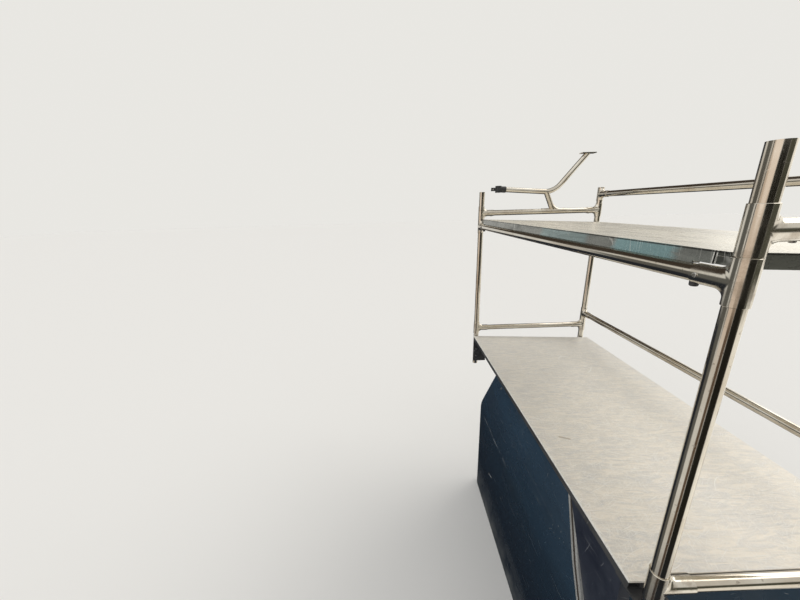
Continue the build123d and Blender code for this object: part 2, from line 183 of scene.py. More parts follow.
def tubeSteel(name, axis):
    # Drawn tube: hair-fine grain along its length, hand-worn patches, a little grime in spots
    sheet = ShaderSheet(name)
    finish = tubeFinish
    scale = [finish["grain"]] * 3
    scale["XYZ".index(axis)] /= finish["stretch"]
    hair = sheet.noise(1.0, 4.0, 0.6, source=sheet.shifted(scale=scale))
    cloud = sheet.noise(8.0, 4.0, 0.6)
    worn = sheet.band(sheet.noise(2.7, 3.0, 0.65), 0.46, 0.62)
    spots = sheet.band(sheet.noise(75.0, 3.0, 0.6), 0.63, 0.72)
    scuff = sheet.band(sheet.noise(34.0, 5.0, 0.75, 1.5), 0.66, 0.69)
    colour = sheet.blend(sheet.band(cloud, 0.36, 0.66), finish["base"], finish["warm"])
    colour = sheet.blend(worn * 0.35, colour, finish["pale"])
    colour = sheet.blend(spots * (1 - worn) * 0.55, colour, finish["grime"])
    colour = sheet.blend(scuff * 0.35, colour, finish["pale"])
    rough = sheet.band(hair * 0.5 + cloud * 0.5, 0.38, 0.62, finish["roughLow"], finish["roughHigh"])
    sheet.set(Base_Color=colour, Metallic=1.0, Roughness=rough + spots * 0.18 + scuff * 0.10)
    sheet.set(Normal=sheet.bump(hair + cloud * 0.4 - scuff * 0.6, 0.05, 0.0004))
    return sheet.material


castFinish = {
    "base": (0.65, 0.61, 0.535),
    "dark": (0.42, 0.365, 0.295),
    "rough": 0.17,
    "grain": 420.0,
}


def castSteel():
    # Cast and linished: fine grain, darker clouds and small pits
    sheet = ShaderSheet("castTeeSteel")
    finish = castFinish
    grain = sheet.noise(finish["grain"], 3.0, 0.6)
    cloud = sheet.noise(34.0, 4.0, 0.6)
    pits = sheet.band(sheet.cells(260.0), 0.02, 0.16)
    colour = sheet.blend(sheet.band(cloud, 0.46, 0.74), finish["base"], finish["dark"])
    colour = sheet.blend((1 - pits) * 0.25, colour, finish["dark"])
    rough = sheet.band(cloud, 0.35, 0.7, finish["rough"] - 0.07, finish["rough"] + 0.09)
    sheet.set(Base_Color=colour, Metallic=1.0, Roughness=rough)
    fine = sheet.bump(grain, 0.05, 0.0003)
    sheet.set(Normal=sheet.bump(pits * 0.5 + cloud, 0.08, 0.0008, under=fine))
    return sheet.material


tableFinish = {
    "base": (0.70, 0.66, 0.59),
    "cool": (0.52, 0.52, 0.525),
    "cream": (0.82, 0.76, 0.665),
    "bright": (0.86, 0.85, 0.81),
    "dark": (0.24, 0.225, 0.215),
    "stain": (0.38, 0.30, 0.22),
    "sunned": (0.88, 0.86, 0.80),
    "paintedSunlightBy": 0.38,
    "metal": 0.15,
    "gouges": [
        {"u": 0.123, "v": 0.262, "slope": 1.10, "bend": 9.0, "half": 0.0042, "reach": 0.034},
        {"u": 0.055, "v": 0.418, "slope": 0.30, "bend": -22.0, "half": 0.0045, "reach": 0.042},
        {"u": -0.150, "v": -0.300, "slope": -0.60, "bend": 12.0, "half": 0.0014, "reach": 0.030},
        {"u": 0.090, "v": -0.420, "slope": 0.85, "bend": -9.0, "half": 0.0013, "reach": 0.035},
    ],
    "burn": {"u": -0.273, "v": -0.233, "slope": -0.36, "bend": 0.0, "half": 0.0052, "reach": 0.022},
    "edgeX": -0.3665,
    "edgeWidth": 0.0035,
    "swirls": [
        (12, 0.060, 0.0016, 0.630, 1.3),
        (-38, 0.045, 0.0014, 0.640, 4.1),
        (63, 0.070, 0.0016, 0.645, 7.7),
        (101, 0.040, 0.0013, 0.640, 11.2),
        (154, 0.080, 0.0017, 0.645, 15.9),
        (-74, 0.052, 0.0014, 0.640, 19.3),
    ],
    "deep": [
        (28, 0.055, 0.0030, 0.735, 21.4),
        (80, 0.085, 0.0028, 0.745, 31.8),
        (-60, 0.045, 0.0032, 0.745, 41.1),
        (5, 0.120, 0.0030, 0.750, 53.6),
    ],
}


def tableSheet():
    # Bare sheet worn by years of cases: swirled hairlines, ripples, cool and cream clouds
    sheet = ShaderSheet("scratchedTableSheet")
    finish = tableFinish
    swirls = sheet.scratches(finish["swirls"], bend=0.045)
    deep = sheet.scratches(finish["deep"])
    haze = sheet.noise(2.3, 5.0, 0.62, 0.8)
    ripple = sheet.noise(1.0, 4.0, 0.62, 1.2, source=sheet.shifted(scale=(15, 66, 26)))
    grit = sheet.noise(190.0, 3.0, 0.7)
    stain = sheet.band(sheet.noise(5.5, 4.0, 0.6, 0.8), 0.66, 0.80)
    pits = sheet.band(sheet.cells(64.0), 0.075, 0.045)
    colour = sheet.blend(sheet.band(haze, 0.62, 0.38) * 0.40, finish["base"], finish["cool"])
    colour = sheet.blend(sheet.band(ripple, 0.48, 0.62) * 0.75, colour, finish["cream"])
    colour = sheet.blend(sheet.band(ripple, 0.46, 0.32) * 0.50, colour, finish["cool"])
    colour = sheet.blend(sheet.band(grit, 0.56, 0.74) * 0.18, colour, finish["dark"])
    colour = sheet.blend(stain * 0.35, colour, finish["stain"])
    colour = sheet.blend(pits * sheet.band(haze, 0.45, 0.6) * 0.5, colour, finish["dark"])
    across, along = sheet.part("X"), sheet.part("Y")
    # Painted sunlight: the sheet is lightened towards its rear end
    colour = sheet.blend(sheet.band(along, -0.55, 0.70) * finish["paintedSunlightBy"], colour, finish["sunned"])
    colour = sheet.blend(swirls * 0.75, colour, finish["bright"])
    colour = sheet.blend(deep, colour, finish["bright"])
    for gouge in finish["gouges"]:
        colour = sheet.blend(sheet.stroke(across, along, gouge) * 0.9, colour, finish["bright"])
    colour = sheet.blend(sheet.stroke(across, along, finish["burn"]) * 0.7, colour, finish["stain"])
    edge = sheet.band(across, finish["edgeX"], finish["edgeX"] + finish["edgeWidth"], 1.0, 0.0)
    colour = sheet.blend(edge * 0.75, colour, finish["bright"])
    rough = sheet.band(haze * 0.5 + ripple * 0.5, 0.35, 0.65, 0.30, 0.46) + swirls * 0.10 - edge * 0.1
    sheet.set(Base_Color=colour, Metallic=finish["metal"], Roughness=rough)
    fine = sheet.bump(swirls * -1.0 + grit * 0.3, 0.25, 0.0006)
    rippled = sheet.bump(ripple, 0.55, 0.0024, under=fine)
    dents = sheet.noise(4.0, 2.0, 0.5)
    sheet.set(Normal=sheet.bump(deep * -1.0 + dents * 3.0, 0.30, 0.0012, under=rippled))
    return sheet.material


shelfFinish = {
    "base": (0.89, 0.84, 0.72),
    "worn": (0.78, 0.74, 0.65),
    "lip": (0.27, 0.275, 0.255),
    "teal": (0.29, 0.45, 0.465),
    "patch": (0.125, 0.130, 0.118),
    "pale": (0.40, 0.43, 0.39),
    "corner": (0.070, 0.072, 0.062),
    "front": (0.120, 0.122, 0.104),
    "tealReflectionBands": [(-0.598, -0.440, 1.0), (-0.320, -0.070, 0.45)],
    "tealReflectionFade": 0.012,
    "cornerY": 0.672,
    "slot": {"y": -0.6720, "gap": 0.0019, "rim": 0.0040},
    "edge": (0.020, 0.018, 0.016),
    "edgeTop": 1.7112,
    "plateTop": 1.704,
    "plate": (0.16, 0.16, 0.145),
    "edgeDepth": 0.0016,
    "aisleX": -0.347,
    "fall": 0.04873,
    "bright": (0.88, 0.87, 0.82),
    "metalTop": 0.08,
    "metalLip": 0.55,
    "seamY": 0.193,
    "seamWidth": 0.0016,
    "marks": [
        (4, 0.120, 0.0018, 0.660, 2.2),
        (84, 0.050, 0.0018, 0.680, 6.4),
        (-30, 0.070, 0.0018, 0.680, 9.5),
    ],
}


def shelfSheet():
    # Smooth sheet: its top in a pale sunlit tone and its lips in a darker shaded tone, which is painted
    # light and shade; on the lips cloudy and wiped patches and painted reflection bands
    sheet = ShaderSheet("shelfSheetSteel")
    finish = shelfFinish
    along = sheet.part("Y")
    facing = sheet.add("ShaderNodeNewGeometry", out="True Normal")
    facingParts = sheet.add("ShaderNodeSeparateXYZ", None, {0: facing})
    ahead = facingParts.other("Y")
    top = sheet.band(facingParts.other("Z").math("ABSOLUTE"), 0.4, 0.8)
    # The scratches lie in plan, and on the upright end lips they would stand up like letters
    marks = sheet.scratches(finish["marks"])
    marks = marks * (1 - sheet.band(ahead.math("ABSOLUTE"), 0.6, 0.9))
    cloud = sheet.noise(13.0, 6.0, 0.68, 0.9, source=sheet.shifted(scale=(1.0, 0.4, 1.7)))
    wipe = sheet.noise(5.0, 4.0, 0.6, 0.5, source=sheet.shifted(scale=(1.0, 0.5, 2.0)))
    fine = sheet.noise(150.0, 3.0, 0.6)
    offset = (along - finish["seamY"]).math("ABSOLUTE")
    seam = sheet.band(offset, finish["seamWidth"], finish["seamWidth"] * 0.4) * (1 - top)
    stray = (cloud - 0.5) * 0.12 + along
    lip = sheet.blend(sheet.band(wipe, 0.55, 0.72) * 0.5, finish["lip"], finish["pale"])
    lip = sheet.blend(sheet.band(cloud, 0.44, 0.64) * 0.85, lip, finish["patch"])
    # Painted reflection: greenish-blue bands along parts of the lips
    fade = finish["tealReflectionFade"]
    for start, stop, strength in finish["tealReflectionBands"]:
        teal = sheet.band(stray, start - fade, start + fade)
        teal = teal * sheet.band(stray, stop + fade, stop - fade)
        lip = sheet.blend(teal * (1 - sheet.band(cloud, 0.5, 0.75) * 0.5) * strength, lip, finish["teal"])
    ends = sheet.band(along.math("ABSOLUTE"), finish["cornerY"], finish["cornerY"] + 0.001)
    lip = sheet.blend(ends * 0.9, lip, finish["corner"])
    # Painted shade: lip faces that face the front are darkened
    lip = sheet.blend(sheet.band(ahead, -0.6, -0.9) * 0.9, lip, finish["front"])
    slot = finish["slot"]
    reach = (along - slot["y"]).math("ABSOLUTE")
    # The slot's dark gap is a joint; the bright lines along its two rims are painted highlights
    lip = sheet.blend(sheet.band(reach, slot["rim"], slot["rim"] * 0.8), lip, finish["bright"])
    lip = sheet.blend(sheet.band(reach, slot["gap"], slot["gap"] * 0.7), lip, finish["edge"])
    lip = sheet.blend(seam, lip, finish["bright"])
    level = sheet.part("Z") + (sheet.part("X") - finish["aisleX"]) * finish["fall"]
    below = (level - finish["edgeTop"]).math("ABSOLUTE")
    edge = sheet.band(below, finish["edgeDepth"], finish["edgeDepth"] * 0.6)
    lip = sheet.blend(edge * 0.85, lip, finish["edge"])
    plain = sheet.blend(sheet.band(wipe, 0.40, 0.65), finish["base"], finish["worn"])
    low = sheet.band(level, finish["plateTop"], finish["plateTop"] - 0.002)
    plain = sheet.blend(low, plain, finish["plate"])
    # Painted light and shade: upward faces take the pale sunlit top tone, the upright lips the darker
    # shaded lip tone
    colour = sheet.blend(top, lip, plain)
    colour = sheet.blend(marks * 0.35, colour, finish["bright"])
    rough = sheet.band(cloud * 0.7 + fine * 0.3, 0.35, 0.65, 0.20, 0.36) + marks * 0.12
    metal = sheet.band(top, 0.0, 1.0, finish["metalLip"], finish["metalTop"])
    sheet.set(Base_Color=colour, Metallic=metal, Roughness=rough)
    sheet.set(Normal=sheet.bump(cloud * 1.5 + marks * -0.6 + fine * 0.2, 0.16, 0.0010))
    return sheet.material


mouldingFinish = {
    "base": (0.011, 0.027, 0.046),
    "pale": (0.022, 0.048, 0.080),
    "deep": (0.005, 0.010, 0.018),
    "dust": (0.20, 0.205, 0.20),
    "chip": (0.50, 0.51, 0.49),
    "worn": (0.16, 0.175, 0.19),
    # worn is the pale tone of the painted highlights along the creases
    "creases": [
        {"height": 0.573, "half": 0.0058, "from": 0.085, "to": 0.43, "strength": 1.0},
        {"height": 0.752, "half": 0.0050, "from": -0.36, "to": 0.36, "strength": 0.10},
    ],
    "creaseSway": 0.020,
    "creaseFade": 0.03,
    "nick": {"u": 0.280, "v": 0.305, "slope": -0.33, "bend": 0.0, "half": 0.0030, "reach": 0.030},
    "scuffs": [
        (0, 0.20, 0.004, 0.72, 3.3),
        (8, 0.10, 0.004, 0.73, 8.6),
        (-21, 0.07, 0.004, 0.73, 12.4),
        (70, 0.05, 0.004, 0.74, 17.7),
    ],
}


def mouldingGelcoat():
    # Dark slate gelcoat with painted light and shade: lighter towards the top and darker towards the floor,
    # and painted highlights along its creases
    sheet = ShaderSheet("mouldingGelcoat")
    finish = mouldingFinish
    along, height = sheet.part("Y"), sheet.part("Z")
    flat = sheet.add("ShaderNodeCombineXYZ", None, {0: along, 1: height, 2: sheet.part("X")})
    scuffs = sheet.scratches(finish["scuffs"], source=flat)
    cloud = sheet.noise(2.6, 5.0, 0.62, 0.5)
    wipe = sheet.noise(7.0, 4.0, 0.6, source=sheet.shifted(scale=(1, 0.5, 1.0)))
    peel = sheet.noise(170.0, 2.0, 0.5)
    specks = sheet.band(sheet.cells(52.0), 0.10, 0.06)
    dirt = sheet.band(height, 0.22, 0.0) * sheet.band(sheet.noise(12.0, 5.0, 0.7), 0.35, 0.65)
    # Painted light and shade: the upper faces are lightened and the lower ones darkened towards the floor
    colour = sheet.blend(sheet.band(height, 0.52, 0.86), finish["base"], finish["pale"])
    colour = sheet.blend(sheet.band(height, 0.62, 0.25) * 0.75, colour, finish["deep"])
    colour = sheet.blend(sheet.band(wipe, 0.40, 0.70) * 0.35, colour, finish["deep"])
    bloom = sheet.band(sheet.noise(38.0, 4.0, 0.7), 0.55, 0.85)
    colour = sheet.blend(bloom * 0.06, colour, finish["dust"])
    # Painted highlights: pale lines along the side's creases, broken up along their length
    sway = (sheet.noise(6.0, 2.0, 0.5) - 0.5) * finish["creaseSway"]
    patchy = sheet.band(sheet.noise(16.0, 3.0, 0.6), 0.36, 0.52)
    creaseHighlight = None
    fade = finish["creaseFade"]
    for crease in finish["creases"]:
        off = (height + sway - crease["height"]).math("ABSOLUTE")
        line = sheet.band(off, crease["half"], crease["half"] * 0.3)
        line = line * sheet.band(along, crease["from"] - fade, crease["from"] + fade)
        line = line * sheet.band(along, crease["to"] + fade, crease["to"] - fade) * crease["strength"]
        creaseHighlight = line if creaseHighlight is None else creaseHighlight.math("MAXIMUM", line)
    creaseHighlight = creaseHighlight * patchy
    colour = sheet.blend(creaseHighlight, colour, finish["worn"])
    mark = sheet.stroke(along, height, finish["nick"])
    colour = sheet.blend(specks * sheet.band(cloud, 0.5, 0.6) * 0.55, colour, finish["chip"])
    colour = sheet.blend(scuffs * 0.16 + mark * 0.8, colour, finish["chip"])
    colour = sheet.blend(dirt * 0.5, colour, finish["dust"])
    rough = sheet.band(cloud * 0.6 + wipe * 0.4, 0.35, 0.65, 0.20, 0.32) + scuffs * 0.15 + dirt * 0.2
    sheet.set(Base_Color=colour, Metallic=0.0, Roughness=rough, IOR=1.5)
    fine = sheet.bump(peel, 0.12, 0.0004)
    waves = sheet.noise(5.0, 2.0, 0.5)
    sheet.set(Normal=sheet.bump(waves * 3.0 - scuffs * 0.4, 0.2, 0.0015, under=fine))
    return sheet.material


trimFinish = {"base": (0.62, 0.62, 0.60), "dull": (0.44, 0.44, 0.42), "rough": 0.30, "metal": 0.55}


def trimAluminium():
    # Extruded: grain along the bar, dull clouds and small nicks
    sheet = ShaderSheet("trimAluminium")
    finish = trimFinish
    grain = sheet.noise(1.0, 3.0, 0.6, source=sheet.shifted(scale=(500, 40, 40)))
    cloud = sheet.noise(18.0, 4.0, 0.6)
    nicks = sheet.band(sheet.noise(150.0, 2.0, 0.5), 0.66, 0.72)
    colour = sheet.blend(sheet.band(cloud, 0.4, 0.7), finish["base"], finish["dull"])
    rough = sheet.band(cloud + grain, 0.8, 1.2, finish["rough"] - 0.06, finish["rough"] + 0.12)
    sheet.set(Base_Color=colour, Metallic=finish["metal"], Roughness=rough + nicks * 0.15)
    sheet.set(Normal=sheet.bump(grain - nicks, 0.12, 0.0005))
    return sheet.material


paintFinish = {
    # Painted shade: the front panel's paint is darker and bluer than the moulding's gelcoat, standing in
    # for the shade under the table
    "panelPaint": {"base": (0.010, 0.014, 0.028), "worn": (0.030, 0.038, 0.058), "rough": 0.34},
    "framePaint": {"base": (0.030, 0.031, 0.034), "worn": (0.080, 0.080, 0.080), "rough": 0.42},
}
paintRub = {
    "rows": [(5, 0.12, 0.004, 0.68, 2.9), (74, 0.06, 0.004, 0.70, 6.1)],
    "colour": (0.30, 0.31, 0.32),
}


def satinPaint(name):
    # Satin paint with a slight orange peel, rubbed in a few long strokes
    sheet = ShaderSheet(name)
    finish = paintFinish[name]
    sides = {0: sheet.part("Y"), 1: sheet.part("Z"), 2: sheet.part("X")}
    flat = sheet.add("ShaderNodeCombineXYZ", None, sides)
    rub = sheet.scratches(paintRub["rows"], source=flat)
    cloud = sheet.noise(6.0, 5.0, 0.65)
    peel = sheet.noise(260.0, 2.0, 0.5)
    colour = sheet.blend(sheet.band(cloud, 0.40, 0.75), finish["base"], finish["worn"])
    colour = sheet.blend(rub * 0.3, colour, paintRub["colour"])
    rough = sheet.band(cloud, 0.35, 0.7, finish["rough"] - 0.06, finish["rough"] + 0.12) + rub * 0.1
    sheet.set(Base_Color=colour, Metallic=0.0, Roughness=rough)
    sheet.set(Normal=sheet.bump(peel - rub, 0.12, 0.0004))
    return sheet.material


zincFinish = {"base": (0.56, 0.55, 0.53), "dull": (0.36, 0.34, 0.30), "rough": 0.36}


def boltZinc():
    sheet = ShaderSheet("boltZinc")
    finish = zincFinish
    cloud = sheet.noise(150.0, 4.0, 0.65)
    fine = sheet.noise(900.0, 2.0, 0.5)
    colour = sheet.blend(sheet.band(cloud, 0.42, 0.68), finish["base"], finish["dull"])
    rough = sheet.band(cloud, 0.35, 0.7, finish["rough"] - 0.08, finish["rough"] + 0.14)
    sheet.set(Base_Color=colour, Metallic=1.0, Roughness=rough)
    sheet.set(Normal=sheet.bump(fine + cloud, 0.1, 0.0004))
    return sheet.material


plasticFinish = {
    "clampPlastic": {"base": (0.016, 0.016, 0.018), "pale": (0.050, 0.050, 0.052), "rough": 0.50},
    "insertRubber": {"base": (0.034, 0.025, 0.019), "pale": (0.085, 0.066, 0.050), "rough": 0.55},
}


def darkPlastic(name):
    sheet = ShaderSheet(name)
    finish = plasticFinish[name]
    cloud = sheet.noise(70.0, 4.0, 0.65)
    grain = sheet.noise(700.0, 2.0, 0.5)
    colour = sheet.blend(sheet.band(cloud, 0.45, 0.8), finish["base"], finish["pale"])
    rough = sheet.band(cloud, 0.35, 0.7, finish["rough"] - 0.08, finish["rough"] + 0.12)
    sheet.set(Base_Color=colour, Roughness=rough)
    sheet.set(Normal=sheet.bump(grain, 0.15, 0.0004))
    return sheet.material


finishes = {
    "tubeX": tubeSteel("tubeSteelAcross", "X"),
    "tubeY": tubeSteel("tubeSteelAlong", "Y"),
    "tubeZ": tubeSteel("tubeSteelUpright", "Z"),
    "cast": castSteel(),
    "table": tableSheet(),
    "shelf": shelfSheet(),
    "moulding": mouldingGelcoat(),
    "trim": trimAluminium(),
    "panel": satinPaint("panelPaint"),
    "framePaint": satinPaint("framePaint"),
    "zinc": boltZinc(),
    "plastic": darkPlastic("clampPlastic"),
    "insert": darkPlastic("insertRubber"),
}
print("finishes made:", len(finishes))


# The CAD nodes' shapes are right, so each is shown as a welded copy that shades smoothly

dressing = {
    "wheelhouse_moulding": "moulding",
    "corner_trim": "trim",
    "front_panel": "panel",
    "table_top": "table",
    "table_frame": "framePaint",
    "shelf_tray": "shelf",
    "shelf_corner_plates": "shelf",
    "wall_ledger_front": "trim",
    "wall_ledger_rear": "trim",
    "overhead_stay": "tubeX",
    "stay_clamp": "plastic",
    "post_plugs": "tubeZ",
    "shelf_rail_aisle": "tubeY",
    "shelf_rail_wall": "tubeY",
    "guard_rail_lower": "tubeY",
    "guard_rail_upper": "tubeY",
}
for end in ("front", "rear"):
    for row in ("aisle", "wall"):
        dressing[f"{row}_post_{end}"] = "tubeZ"
        dressing[f"{row}_bracket_{end}"] = "framePaint"
    dressing[f"lower_end_rail_{end}"] = "tubeX"
    dressing[f"upper_end_rail_{end}"] = "tubeX"

shading = {"weld": 0.00002, "sharpFrom": 28.0}


def camelName(node):
    words = node.split("_")
    return words[0] + "".join(word.capitalize() for word in words[1:])


def linkedPiece(name, data):
    piece = bpy.data.objects.new(name, data)
    bpy.context.scene.collection.objects.link(piece)
    return piece


def smooth(mesh):
    # Smooth shading, with hard edges where the faces turn sharply
    mesh.shade_smooth()
    mesh.set_sharp_from_angle(angle=math.radians(shading["sharpFrom"]))


def dressNode(node, finish):
    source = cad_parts[node]
    mesh = source.data.copy()
    mesh.name = camelName(node)
    form = bmesh.new()
    form.from_mesh(mesh)
    bmesh.ops.remove_doubles(form, verts=form.verts, dist=shading["weld"])
    form.to_mesh(mesh)
    form.free()
    # The stored normals don't survive the weld, and they would mislead the search for sharp edges
    if "custom_normal" in mesh.attributes:
        mesh.attributes.remove(mesh.attributes["custom_normal"])
    mesh.materials.clear()
    mesh.materials.append(finishes[finish])
    smooth(mesh)
    piece = linkedPiece(camelName(node), mesh)
    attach(piece, "root")
    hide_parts(node)


for node, finish in dressing.items():
    dressNode(node, finish)
print("nodes dressed:", len(dressing))


# Tees: one skin with a rolling fillet between sleeve and socket, set on each post by Geometry Nodes

teeShape = {
    "radius": 0.0170,
    "bore": 0.01515,
    "halfSleeve": 0.0370,
    "reach": 0.0700,
    "socketStart": 0.0260,
    "rimBevel": 0.0006,
    "aroundSteps": 64,
    "filletSteps": 10,
    "poleShare": 0.02,
    "weld": 0.000004,
    "samePoint": 0.0000001,
    "flatSpread": 0.0001,
}
teePlaces = {
    "aisle": [(1.041, "across"), (1.672, "along"), (1.747, "across")],
    "wall": [(1.041, "across"), (1.116, "along"), (1.641, "along"), (1.747, "across"), (1.834, "along")],
}


def ringPoints(radius, steps, place):
    return [place(radius, 2 * math.pi * step / steps) for step in range(steps)]


def acrossX(x):
    return lambda radius, angle: Vector((x, radius * math.cos(angle), radius * math.sin(angle)))


def acrossZ(z):
    return lambda radius, angle: Vector((radius * math.cos(angle), radius * math.sin(angle), z))


def makeTeeMesh():
    # The ball that rolls between two equal round bars keeps its middle at (c |sin a|, c cos a, c sin a)
    shape = teeShape
    radius, bore, bevel = shape["radius"], shape["bore"], shape["rimBevel"]
    half, reach = shape["halfSleeve"], shape["reach"]
    ball = half - bevel - radius
    centre = radius + ball
    steps = shape["aroundSteps"]
    form = bmesh.new()

    def strip(rows, closed=True):
        made = [[form.verts.new(point) for point in row] for row in rows]
        for first, second in zip(made, made[1:]):
            last = len(first) if closed else len(first) - 1
            for spot in range(last):
                beside = (spot + 1) % len(first)
                corners = (first[spot], first[beside], second[beside], second[spot])
                form.faces.new(corners)

    def filletPoint(angle, share):
        side, rise = math.cos(angle), math.sin(angle)
        middleOf = Vector((centre * abs(rise), centre * side, centre * rise))
        onSocket = Vector((middleOf.x, radius * side, radius * rise))
        onSleeve = Vector((radius * abs(rise), radius * side, middleOf.z))
        first, last = onSocket - middleOf, onSleeve - middleOf
        spread = first.angle(last) if (onSocket - onSleeve).length > shape["samePoint"] else 0.0
        if spread < shape["flatSpread"]:
            return onSocket
        low, high = math.sin((1 - share) * spread), math.sin(share * spread)
        return middleOf + (first * low + last * high) / math.sin(spread)

    angles = [2 * math.pi * step / steps for step in range(steps)]
    rows = [
        ringPoints(radius - bevel, steps, acrossX(reach)),
        ringPoints(radius, steps, acrossX(reach - bevel)),
    ]
    for step in range(shape["filletSteps"] + 1):
        rows.append([filletPoint(angle, step / shape["filletSteps"]) for angle in angles])
    strip(rows)

    for sign in (1, -1):
        edge, rim = [], []
        for step in range(steps // 2 + 1):
            angle = sign * math.pi * step / (steps // 2)
            edge.append(filletPoint(angle, 1.0))
            rim.append(Vector((edge[-1].x, edge[-1].y, sign * (half - bevel))))
        strip([edge, rim], closed=False)
        back, backRim = [], []
        for step in range(steps // 2 + 1):
            angle = math.pi / 2 + math.pi * step / (steps // 2)
            back.append(Vector((radius * math.cos(angle), radius * math.sin(angle), 0)))
            backRim.append(back[-1] + Vector((0, 0, sign * (half - bevel))))
        strip([back, backRim], closed=False)
        strip([
            ringPoints(radius, steps, acrossZ(sign * (half - bevel))),
            ringPoints(radius - bevel, steps, acrossZ(sign * half)),
            ringPoints(bore, steps, acrossZ(sign * half)),
            ringPoints(bore, steps, acrossZ(0.0)),
        ])

    strip([
        ringPoints(radius - bevel, steps, acrossX(reach)),
        ringPoints(bore, steps, acrossX(reach)),
        ringPoints(bore, steps, acrossX(shape["socketStart"])),
        ringPoints(bore * shape["poleShare"], steps, acrossX(shape["socketStart"])),
    ])
    bmesh.ops.remove_doubles(form, verts=form.verts, dist=shape["weld"])
    bmesh.ops.dissolve_degenerate(form, edges=form.edges, dist=shape["weld"])
    bmesh.ops.holes_fill(form, edges=form.edges, sides=steps)
    bmesh.ops.recalc_face_normals(form, faces=form.faces)
    openEdges = sum(1 for edge in form.edges if not edge.is_manifold)
    print("tee faces:", len(form.faces), "open edges:", openEdges)
    mesh = bpy.data.meshes.new("teeSkin")
    form.to_mesh(mesh)
    form.free()
    smooth(mesh)
    return mesh


def teeTree(template):
    sheet = Sheet(bpy.data.node_groups.new("teeRow", "GeometryNodeTree"))
    sockets = sheet.tree.interface
    sockets.new_socket("Places", in_out="INPUT", socket_type="NodeSocketGeometry")
    sockets.new_socket("Tees", in_out="OUTPUT", socket_type="NodeSocketGeometry")
    spots = sheet.add("NodeGroupInput", out="Places")
    skin = sheet.add("GeometryNodeObjectInfo", None, {"Object": template}, out="Geometry")
    aim = sheet.add("GeometryNodeInputNamedAttribute", {"data_type": "FLOAT_VECTOR"}, {"Name": "aim"})
    turn = sheet.add("FunctionNodeAlignRotationToVector", {"axis": "X", "pivot_axis": "Z"}, {"Vector": aim})
    tees = sheet.add("GeometryNodeInstanceOnPoints", None, {
        "Points": spots, "Instance": skin, "Rotation": turn,
    })
    tees = sheet.add("GeometryNodeRealizeInstances", None, {"Geometry": tees})
    tees = sheet.add("GeometryNodeSetMaterial", None, {"Geometry": tees, "Material": finishes["cast"]})
    sheet.add("NodeGroupOutput", None, {"Tees": tees})
    return sheet.tree


def placedMesh(name, places):
    # A mesh of bare points, each with the way that its copy faces
    mesh = bpy.data.meshes.new(name + "Places")
    mesh.from_pydata([at for at, aim in places], [], [])
    aims = mesh.attributes.new("aim", "FLOAT_VECTOR", "POINT")
    for spot, (at, aim) in zip(aims.data, places):
        spot.vector = aim
    return mesh


def bakedPiece(name, places, tree, given=None):
    # Runs the tree once over the places and keeps the mesh that comes out
    piece = linkedPiece(name, placedMesh(name, places))
    modifier = piece.modifiers.new(name, "NODES")
    modifier.node_group = tree
    for item in tree.interface.items_tree:
        if item.in_out == "INPUT" and item.name in (given or {}):
            modifier[item.identifier] = given[item.name]
    graph = bpy.context.evaluated_depsgraph_get()
    solid = bpy.data.meshes.new_from_object(piece.evaluated_get(graph), depsgraph=graph)
    piece.modifiers.clear()
    piece.data = solid
    return piece


def makeTees():
    template = linkedPiece("teeSkin", makeTeeMesh())
    tree = teeTree(template)
    for end, along in (("front", 1), ("rear", -1)):
        for row, across in (("aisle", 1), ("wall", -1)):
            low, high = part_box(f"{row}_post_{end}")
            x, y = (low[0] + high[0]) / 2, (low[1] + high[1]) / 2
            ways = {"across": Vector((across, 0, 0)), "along": Vector((0, along, 0))}
            places = [(Vector((x, y, height)), ways[way]) for height, way in teePlaces[row]]
            node = f"{row}_tees_{end}"
            piece = bakedPiece(camelName(node), places, tree)
            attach(piece, "root")
            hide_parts(node)
    bpy.data.objects.remove(template)


makeTees()


# The dark insert in the corner trim's groove, raised from the faces of the groove's floor

insert = {
    "endY": -0.578,
    "kneeZ": 0.615,
    "slope": 62.5,
    "from": 0.0095,
    "to": 0.0205,
    "thick": 0.0006,
    "facing": -0.9,
}


def depthFromFrontEdge(y, z):
    # How far a point lies behind the moulding's front outline, seen from the aisle
    slope = math.radians(insert["slope"])
    upright = y - insert["endY"]
    slanted = (upright - (z - insert["kneeZ"]) / math.tan(slope)) * math.sin(slope)
    return min(upright, slanted)


def makeTrimInsert():
    form = bmesh.new()
    form.from_mesh(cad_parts["corner_trim"].data)
    bmesh.ops.remove_doubles(form, verts=form.verts, dist=shading["weld"])
    form.normal_update()
    others = []
    for face in form.faces:
        at = face.calc_center_median()
        inGroove = insert["from"] < depthFromFrontEdge(at.y, at.z) < insert["to"]
        if face.normal.x > insert["facing"] or not inGroove:
            others.append(face)
    bmesh.ops.delete(form, geom=others, context="FACES")
    bmesh.ops.solidify(form, geom=form.faces[:], thickness=-insert["thick"])
    bmesh.ops.recalc_face_normals(form, faces=form.faces)
    # Solidify adds the faces of its rim in no fixed order, so they are ranked by place
    ranked = sorted(form.faces, key=lambda face: face.calc_center_median()[:])
    rank = {face: place for place, face in enumerate(ranked)}
    form.faces.sort(key=rank.get)
    mesh = bpy.data.meshes.new("trimInsert")
    form.to_mesh(mesh)
    print("insert faces:", len(form.faces))
    form.free()
    mesh.materials.append(finishes["insert"])
    smooth(mesh)
    piece = linkedPiece("trimInsert", mesh)
    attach(piece, "root")


makeTrimInsert()


# Fasteners: small heads set by Geometry Nodes at places read from the nodes they sit on

